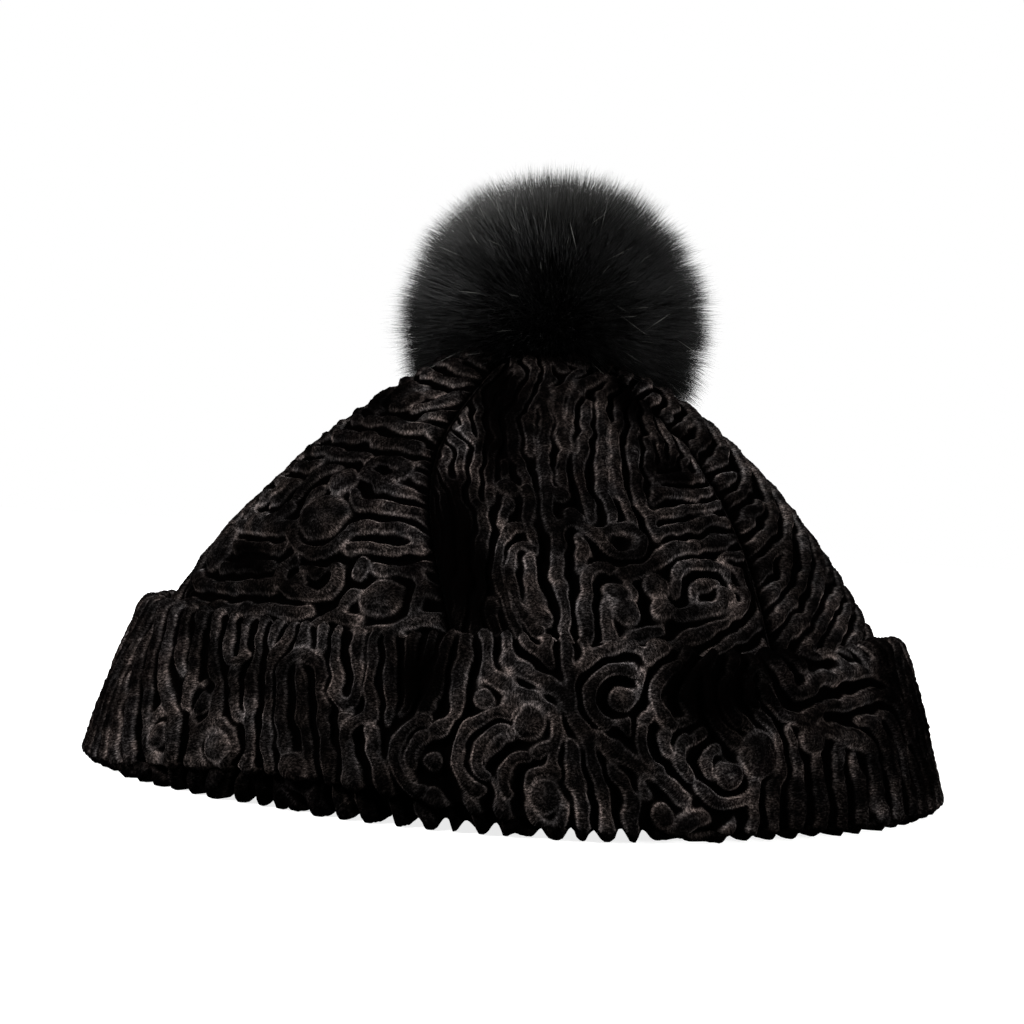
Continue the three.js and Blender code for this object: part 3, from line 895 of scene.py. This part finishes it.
def share_outside(points):
    """How far along the way from the ball's middle to each point the way stays outside the crown."""
    share = np.ones(len(points))
    for step in np.linspace(1.0, 0.04, 25):
        inside = crown_depth(BALL_CENTRE + (points - BALL_CENTRE) * step) < 1
        share[inside] = step - 0.02
    return share[:, None]


print("the ball's middle lies at", round(float(crown_depth(BALL_CENTRE)), 2), "of the crown's reach")

# %% [markdown]
# Each hair is a thin spike with three sides that starts in the ball's dark heart and ends in a point. Hairs gather in
# tufts, each with its own length and droop, because single hairs spread evenly would look like a brush. A few hairs
# are silver, and these stray further. Hairs that would hang in front of the crown, or end inside it, are left out.

# %% Where the hairs run
FRONT_EDGE_HEIGHT = 120.0
FRONT_EDGE_SPREAD = 3.0
FRONT_EDGE_DEPTH = 22
TUFT_SCATTER = 0.05
TUFT_LENGTHS = 0.018
TUFT_BEND = 3.2
TUFT_DROOP = (0, 0, -2.0)
HAIR_SCATTER = 0.11
HAIR_BEND = 1.1
SILVER_BEND = 5.0
ROOT_FROM, ROOT_TO = 0.36, 0.55
BEND_AT = 0.82
GATHER = 0.3
BURIED = 0.9


def spread_over_ball(count):
    """Even directions over a ball, by the golden angle."""
    up = 1 - (2 * np.arange(count) + 1) / count
    turn = math.pi * (3 - math.sqrt(5)) * np.arange(count)
    out = np.sqrt(1 - up**2)
    return np.stack([out * np.cos(turn), out * np.sin(turn), up], axis=-1)


def unit(vectors):
    return vectors / np.linalg.norm(vectors, axis=-1, keepdims=True)


def hair_spines(coat, rng):
    """Root, bend and tip of each hair of a coat, and which hairs are silver."""
    count, tufts = coat["count"], coat["tufts"]
    tuft_ways = unit(spread_over_ball(tufts) + TUFT_SCATTER * rng.standard_normal((tufts, 3)))
    tuft_length = 1 + TUFT_LENGTHS * rng.standard_normal(tufts)
    tuft_bend = TUFT_BEND * rng.standard_normal((tufts, 3)) + np.array(TUFT_DROOP)
    tuft = rng.integers(0, tufts, count)
    way = unit(tuft_ways[tuft] + HAIR_SCATTER * rng.standard_normal((count, 3)))
    length = BALL_RADIUS * tuft_length[tuft] * rng.uniform(coat["shortest"], coat["longest"], count)
    root = way * (length * rng.uniform(ROOT_FROM, ROOT_TO, count))[:, None]
    gather = unit(way * (1 - GATHER) + tuft_ways[tuft] * GATHER)
    bend = tuft_bend[tuft] + HAIR_BEND * rng.standard_normal((count, 3))
    silver = rng.random(count) < coat["silver"]
    bend += SILVER_BEND * silver[:, None] * rng.standard_normal((count, 3))
    bend -= way * np.sum(bend * way, axis=1, keepdims=True)
    middle = unit(way + gather) * (length * BEND_AT)[:, None] + bend * 0.5
    tip = gather * length[:, None] + bend
    spines = np.stack([root, middle, tip], axis=1) + BALL_CENTRE
    ends = spines[:, 2]
    edge = FRONT_EDGE_HEIGHT + FRONT_EDGE_SPREAD * rng.standard_normal(tufts)[tuft]
    hides_crown = (ends[:, 1] < BALL_CENTRE[1] - FRONT_EDGE_DEPTH) & (ends[:, 2] < edge)
    kept = ~hides_crown & ~(crown_depth(ends) < BURIED)
    return laid_on_crown(spines[kept]), silver[kept]


print("hairs start", round(BALL_RADIUS * ROOT_FROM), "to", round(BALL_RADIUS * ROOT_TO), "mm from the ball's middle")

# %% [markdown]
# A spike needs three points round its root and one at its tip, and three more where it bends. A bmesh operator for
# each of ninety thousand hairs would take many minutes, so one spike's pattern of triangles is repeated by numpy.
# Each point also keeps how pale the hair is there: the tips of hairs that point up and away from us get a painted
# glow, as if they caught the light, and the silver hairs are pale of their own colour.

# %% From hairs to a mesh
# Painted glow: tips of hairs that point this way, up and away from the camera, are painted paler, as if lit from
# behind.
PAINTED_GLOW_WAY = (-0.2, 0.45, 0.85)
PAINTED_GLOW_LEAST = 0.004
PAINTED_GLOW_GAIN = 0.19
BEND_THINNER = 0.8


def spike_points(coat, spines, silver, rng):
    """Which way each hair points, and its corners: three at the root, three at the bend if any, and the tip."""
    count = len(spines)
    aim = unit(spines[:, 2] - spines[:, 0])
    side = unit(np.cross(aim, rng.standard_normal((count, 3))))
    other = np.cross(aim, side)
    corners = np.radians([90, 210, 330])[None, :, None]
    ring = side[:, None] * np.cos(corners) + other[:, None] * np.sin(corners)
    ring = ring * (coat["thickness"] * rng.uniform(0.7, 1.3, count) * (1 + silver))[:, None, None]
    root, bend, tip = spines[:, 0:1], spines[:, 1:2], spines[:, 2:3]
    rings = [root + ring, bend + ring * BEND_THINNER] if coat["bends"] else [root + ring]
    return aim, np.concatenate(rings + [tip], axis=1)


def spike_faces(count, size):
    """The triangles of all hairs of so many points each: a foot, sides up to the bend if any, and the point."""
    last_ring = size - 4
    pattern = [[0, 2, 1]]
    for corner in range(3):
        after = (corner + 1) % 3
        if last_ring:
            pattern += [[corner, after, after + 3], [corner, after + 3, corner + 3]]
        pattern += [[corner + last_ring, after + last_ring, size - 1]]
    return (np.array(pattern)[None] + size * np.arange(count)[:, None, None]).reshape(-1, 3)


def glow_and_silver_share(aim, points, silver):
    """How pale each point of each hair is: a painted glow on tips that point up and away, and the silver hairs' own
    colour.
    """
    reach = np.linalg.norm(points - BALL_CENTRE, axis=2) / BALL_RADIUS
    facing = smooth_step(aim @ np.array(PAINTED_GLOW_WAY), 0.0, 0.9)
    haze = reach**9 * (PAINTED_GLOW_LEAST + PAINTED_GLOW_GAIN * facing)[:, None]
    return np.maximum(haze, silver[:, None] * reach**6)


def write_haze(mesh, haze):
    layer = mesh.attributes.new("haze", "FLOAT", "POINT")
    layer.data.foreach_set("value", haze.astype(np.float32).ravel())


print("triangles in a straight hair and in a bent one:", len(spike_faces(1, 4)), len(spike_faces(1, 7)))

# %% [markdown]
# The ball has three coats, as such fur has: a dense, short and straight one that closes the ball, a longer one that
# bends, and thin guard hairs that stand out furthest. The coats' names, numbers and lengths are one table, with
# lengths as a share of the ball's radius. A dark ball in the middle stops the light from passing through.

# %% The ball of long fur
HEART_FINENESS = 5
COAT = ("name", "count", "tufts", "thickness", "shortest", "longest", "bends", "silver", "seed")
COATS = [
    ("fur_under", 53500, 900, 0.16, 0.86, 0.96, False, 0, 101),
    ("fur_long", 22000, 420, 0.085, 0.9, 0.985, True, 0, 102),
    ("fur_guard", 19000, 300, 0.055, 0.93, 1.01, True, 0.012, 103),
]


def make_hairs(coat):
    rng = np.random.default_rng(coat["seed"])
    spines, silver = hair_spines(coat, rng)
    aim, points = spike_points(coat, spines, silver, rng)
    faces = spike_faces(points.shape[0], points.shape[1])
    mesh = bpy.data.meshes.new(coat["name"])
    mesh.vertices.add(points.shape[0] * points.shape[1])
    mesh.vertices.foreach_set("co", (points * MM).astype(np.float32).ravel())
    mesh.loops.add(len(faces) * 3)
    mesh.loops.foreach_set("vertex_index", faces.astype(np.int32).ravel())
    mesh.polygons.add(len(faces))
    mesh.polygons.foreach_set("loop_start", np.arange(0, len(faces) * 3, 3, dtype=np.int32))
    mesh.update(calc_edges=True)
    mesh.shade_smooth()
    write_haze(mesh, glow_and_silver_share(aim, points, silver))
    hairs = add(coat["name"], mesh)
    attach(hairs, "root")
    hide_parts("fur_ball")
    print(coat["name"], "hairs", len(points), "triangles", len(faces))
    return hairs


def make_core():
    """The dark heart of the ball, which shows only as depth between the hairs."""
    bm = bmesh.new()
    bmesh.ops.create_icosphere(bm, subdivisions=HEART_FINENESS, radius=CORE_RADIUS)
    mesh = bpy.data.meshes.new("fur_heart")
    bm.to_mesh(mesh)
    bm.free()
    flat = np.empty(len(mesh.vertices) * 3, np.float32)
    mesh.vertices.foreach_get("co", flat)
    points = flat.reshape(-1, 3)
    points = BALL_CENTRE + points * share_outside(points + BALL_CENTRE)
    mesh.vertices.foreach_set("co", (points * MM).astype(np.float32).ravel())
    write_haze(mesh, np.zeros(len(points)))
    mesh.shade_smooth()
    core = add("fur_heart", mesh)
    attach(core, "root")
    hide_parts("fur_ball")
    return core


ball = [make_core()] + [make_hairs(coat) for coat in named(COAT, COATS)]

# %% [markdown]
# A finish is a small network of nodes. Two short classes keep it readable: one wraps a socket so that sums are
# written as sums, and the other makes any node from its type, its settings and its sockets.

# %% Writing finishes
class Wire:
    """A socket that can be added, subtracted and multiplied."""

    def __init__(self, finish, socket):
        self.finish = finish
        self.socket = socket

    def sum_of(self, operation, first, second):
        return self.finish.node("ShaderNodeMath", {"operation": operation}, {0: first, 1: second})

    def __add__(self, other):
        return self.sum_of("ADD", self, other)

    __radd__ = __add__

    def __sub__(self, other):
        return self.sum_of("SUBTRACT", self, other)

    def __rsub__(self, other):
        return self.sum_of("SUBTRACT", other, self)

    def __mul__(self, other):
        return self.sum_of("MULTIPLY", self, other)

    __rmul__ = __mul__

    def clamped(self):
        return self.finish.node("ShaderNodeClamp", {}, {"Value": self})


class Finish:
    """A material, made node by node."""

    def __init__(self, name):
        self.material = bpy.data.materials.new(name)
        self.material.use_nodes = True
        self.tree = self.material.node_tree
        self.tree.nodes.clear()

    def node(self, kind, settings, sockets, output=0):
        made = self.tree.nodes.new(kind)
        for key, value in settings.items():
            setattr(made, key, value)
        for key, value in sockets.items():
            if isinstance(value, Wire):
                self.tree.links.new(value.socket, made.inputs[key])
            else:
                made.inputs[key].default_value = value
        return Wire(self, made.outputs[output])

    def value(self, name):
        """A number kept on the mesh's points."""
        return self.node("ShaderNodeAttribute", {"attribute_name": name}, {}, "Fac")

    def place(self):
        return self.node("ShaderNodeTexCoord", {}, {}, "Object")

    def noise(self, scale, detail, place=None):
        sockets = {"Vector": place or self.place(), "Scale": scale, "Detail": detail}
        return self.node("ShaderNodeTexNoise", {}, sockets, "Fac")

    def patches(self, scale, detail, gain, cut):
        """Noise with its contrast raised, kept from 0 to 1."""
        return (self.noise(scale, detail) * gain - cut).clamped()

    def step(self, value, low, high):
        """Rises smoothly from 0 at low to 1 at high."""
        sockets = {"Value": value, "From Min": low, "From Max": high}
        return self.node("ShaderNodeMapRange", {"interpolation_type": "SMOOTHSTEP"}, sockets)

    def point(self, x, y):
        return self.node("ShaderNodeCombineXYZ", {}, {"X": x, "Y": y})

    def blend(self, share, first, second):
        """A colour between two colours."""
        sockets = {0: share, 6: first, 7: second}
        return self.node("ShaderNodeMix", {"data_type": "RGBA"}, sockets, 2)

    def shader(self, sockets):
        return self.node("ShaderNodeBsdfPrincipled", {}, sockets)

    def finished(self, surface):
        output = self.tree.nodes.new("ShaderNodeOutputMaterial")
        self.tree.links.new(surface.socket, output.inputs["Surface"])
        return self.material


print("a finish is written with", [name for name in vars(Finish) if not name.startswith("_")])

# %% [markdown]
# Short hair lies across each curl, from its valley over its crest. It is far too fine to model, so it is noise,
# drawn out in four directions, and each place shows the one that fits its own curl. The mesh keeps the curls'
# direction as a doubled angle, so two products tell how well a direction fits.

# %% Fine hair on the curls
STROKE_WAYS = 4
STROKE_WIDTH = 0.36
STROKE_LENGTH = 1.0
STROKE_CONTRAST = 4.2


def make_strokes(lamb):
    """Fine hair laid across the curls, from 0 to 1."""
    x, y = lamb.value("pelt_x"), lamb.value("pelt_y")
    way_x, way_y = lamb.value("way_x"), lamb.value("way_y")
    strokes = 0.0
    for number in range(STROKE_WAYS):
        way = math.pi * number / STROKE_WAYS
        fits = (way_x * math.cos(2 * way) + way_y * math.sin(2 * way)).clamped()
        along = x * math.cos(way) + y * math.sin(way)
        across = y * math.cos(way) - x * math.sin(way)
        drawn_out = lamb.point(along * (1 / STROKE_WIDTH), across * (1 / STROKE_LENGTH))
        strokes = (lamb.noise(1.0, 2.0, drawn_out) - 0.5) * fits * fits + strokes
    return (strokes * STROKE_CONTRAST + 0.5).clamped()


print("hairs in a millimetre along a curl:", round(1 / STROKE_WIDTH, 1))

# %% [markdown]
# Lamb fur is brown-black on the crests of its curls, where the short hair shines a little, and the valleys between
# them get painted shade, black where light is lost. One shader could only be made darker there, and would still
# shine.
# So there are two, mixed: one for lit hair, and one so black that it shows nothing, which paints the shade. The mix
# follows the height on the curl, with a painted highlight as a brighter line along each curl's edge, where the hair
# bends over, and squaring it keeps the dark parts dark.

# %% Finish of the curls
LIT_BODY = 0.55
# The painted highlight on each curl's edge: how much lit hair shows there, and a line added to it.
EDGE_HIGHLIGHT_HAIR = 0.5
EDGE_PAINTED_HIGHLIGHT = 0.16
COOL_HAIR = (0.148, 0.132, 0.131, 1)
WARM_HAIR = (0.19, 0.147, 0.132, 1)
LINING_CLOTH = (0.004, 0.0038, 0.004, 1)
# Painted shade: the black that fills the valleys between the curls.
VALLEY_PAINTED_SHADE = (0.0004, 0.0003, 0.0003, 1)
SHEEN_TINT = (0.75, 0.68, 0.66, 1)


def lit_share(lamb, grain):
    """How much lit hair shows over the valleys' painted shade: curl bodies and edges with a painted highlight, broken
    up by hair, tufts and specks.
    """
    wave = lamb.value("wave")
    body = lamb.step(wave, -0.75, 0.0)
    # Painted highlight: a bright line halfway up each curl's flank, where the hair bends over.
    edge = lamb.step(wave, -0.5, -0.1) * (1.0 - lamb.step(wave, -0.05, 0.5))
    specks = lamb.patches(1800.0, 2.0, 6.0, 2.5)
    tufts = lamb.patches(260.0, 3.0, 3.6, 1.2)
    hair_light = (tufts * 0.65 + 0.35) * (grain * 0.6 + 0.4) * (specks * 0.65 + 0.5)
    shown = body * hair_light * LIT_BODY + edge * (hair_light * EDGE_HIGHLIGHT_HAIR + EDGE_PAINTED_HIGHLIGHT)
    # The light layer dims it: random tone, and the charted painted shade.
    shown = shown * lamb.value("light")
    return shown * shown


def make_lamb_finish():
    lamb = Finish("curled lamb fur")
    inside = lamb.value("inside")
    grain = make_strokes(lamb)
    hair = lamb.blend(lamb.patches(130.0, 2.0, 4.0, 1.5), COOL_HAIR, WARM_HAIR)
    bump = lamb.node("ShaderNodeBump", {}, {"Strength": 0.8, "Distance": 0.0003, "Height": grain})
    crest = lamb.shader(
        {
            "Base Color": lamb.blend(inside, hair, LINING_CLOTH),
            "Roughness": 0.7,
            "Specular IOR Level": 0.12,
            "Sheen Weight": 0.06,
            "Sheen Roughness": 0.35,
            "Sheen Tint": SHEEN_TINT,
            "Normal": bump,
        }
    )
    # Painted shade: a shader so black that it shows nothing, mixed in down in the valleys.
    depth = lamb.shader({"Base Color": VALLEY_PAINTED_SHADE, "Roughness": 1.0, "Specular IOR Level": 0.0})
    share = (lit_share(lamb, grain) + inside).clamped()
    return lamb.finished(lamb.node("ShaderNodeMixShader", {}, {0: share, 1: depth, 2: crest}))


lamb_finish = make_lamb_finish()
for skin in gores + [cuff]:
    skin.data.materials.append(lamb_finish)
print(lamb_finish.name, "nodes", len(lamb_finish.node_tree.nodes))

# %% [markdown]
# The long hair is blacker and glossier than the curls. It turns pale by the share that its points keep: a painted
# glow, a little at the tips that point up, where the ball looks soft against the light, and fully on the few silver
# hairs, which are pale of their own.

# %% Finish of the long fur
LONG_HAIR_BLACK = (0.0004, 0.0004, 0.0004, 1)
LONG_HAIR_GLOW_AND_SILVER = (0.28, 0.28, 0.26, 1)


def make_ball_finish():
    fox = Finish("long black fur")
    colour = fox.blend(fox.value("haze").clamped(), LONG_HAIR_BLACK, LONG_HAIR_GLOW_AND_SILVER)
    return fox.finished(fox.shader({"Base Color": colour, "Roughness": 0.38, "Specular IOR Level": 0.1}))


ball_finish = make_ball_finish()
for piece in ball:
    piece.data.materials.append(ball_finish)
print(ball_finish.name, "on", [piece.name for piece in ball])

# %% [markdown]
# The studio is plain, with a pale floor. The floor gives off some light of its own, which keeps the cap's shadow
# faint, but neither its light nor its reflection reaches the fur: black fur would turn grey from below.

# %% Floor
FLOOR_HALF = 4
FLOOR_GREY = 0.4
FLOOR_GLOW = 0.8
bm = bmesh.new()
bmesh.ops.create_grid(bm, x_segments=1, y_segments=1, size=FLOOR_HALF)
floor_mesh = bpy.data.meshes.new("floor")
bm.to_mesh(floor_mesh)
bm.free()
floor = add("floor", floor_mesh)
floor.visible_diffuse = False
floor.visible_glossy = False
pale = Finish("pale floor")
pale_shader = pale.shader(
    {
        "Base Color": (FLOOR_GREY, FLOOR_GREY, FLOOR_GREY, 1),
        "Roughness": 0.9,
        "Emission Color": (1, 1, 1, 1),
        "Emission Strength": FLOOR_GLOW,
    }
)
floor_mesh.materials.append(pale.finished(pale_shader))
print("floor", 2 * FLOOR_HALF, "m wide")

# %% [markdown]
# The key light is a soft sun from the left, in front and above, so that it grazes the curls and draws them by their
# shadows. A lamp at the right fills a little, and one behind edges the long fur.

# %% Lights
KEY_WAY = (0.95, 0.38, -0.8)
KEY_STRENGTH = 5.2
KEY_SOFTNESS = math.radians(16)
LIT_POINT = Vector((0, 0, 0.08))
LAMPS = [
    {"name": "fill", "place": (0.9, -0.5, 0.5), "size": 0.6, "power": 12.0},
    {"name": "back", "place": (0.1, 0.9, 0.9), "size": 0.7, "power": 22.0},
]


def shine_along(stand, way):
    stand.rotation_euler = way.to_track_quat("-Z", "Y").to_euler()


sun = bpy.data.lights.new("key", "SUN")
sun.energy = KEY_STRENGTH
sun.angle = KEY_SOFTNESS
shine_along(add("key", sun), Vector(KEY_WAY))
for lamp in LAMPS:
    light = bpy.data.lights.new(lamp["name"], "AREA")
    light.size = lamp["size"]
    light.energy = lamp["power"]
    stand = add(lamp["name"], light)
    stand.location = lamp["place"]
    shine_along(stand, LIT_POINT - stand.location)
print("lights:", [light.name for light in bpy.data.lights])

# %% [markdown]
# The world is white to the camera alone. To everything else it gives a tenth of that light, because light from all
# sides would fill the valleys between the curls and make black fur look grey.

# %% World
WHITE = (1, 1, 1, 1)
SEEN_GLOW = 1.0
GIVEN_GLOW = 0.1
world = bpy.data.worlds.new("white studio")
bpy.context.scene.world = world
world.use_nodes = True
sky = world.node_tree
seen = sky.nodes["Background"]
given = sky.nodes.new("ShaderNodeBackground")
for background, strength in ((seen, SEEN_GLOW), (given, GIVEN_GLOW)):
    background.inputs["Color"].default_value = WHITE
    background.inputs["Strength"].default_value = strength
path = sky.nodes.new("ShaderNodeLightPath")
choice = sky.nodes.new("ShaderNodeMixShader")
sky.links.new(path.outputs["Is Camera Ray"], choice.inputs[0])
sky.links.new(given.outputs[0], choice.inputs[1])
sky.links.new(seen.outputs[0], choice.inputs[2])
sky.links.new(choice.outputs[0], sky.nodes["World Output"].inputs[0])
bpy.context.scene.view_settings.view_transform = "Standard"
print("the camera sees a world of", SEEN_GLOW, "and the cap is lit by one of", GIVEN_GLOW)

# %% [markdown]
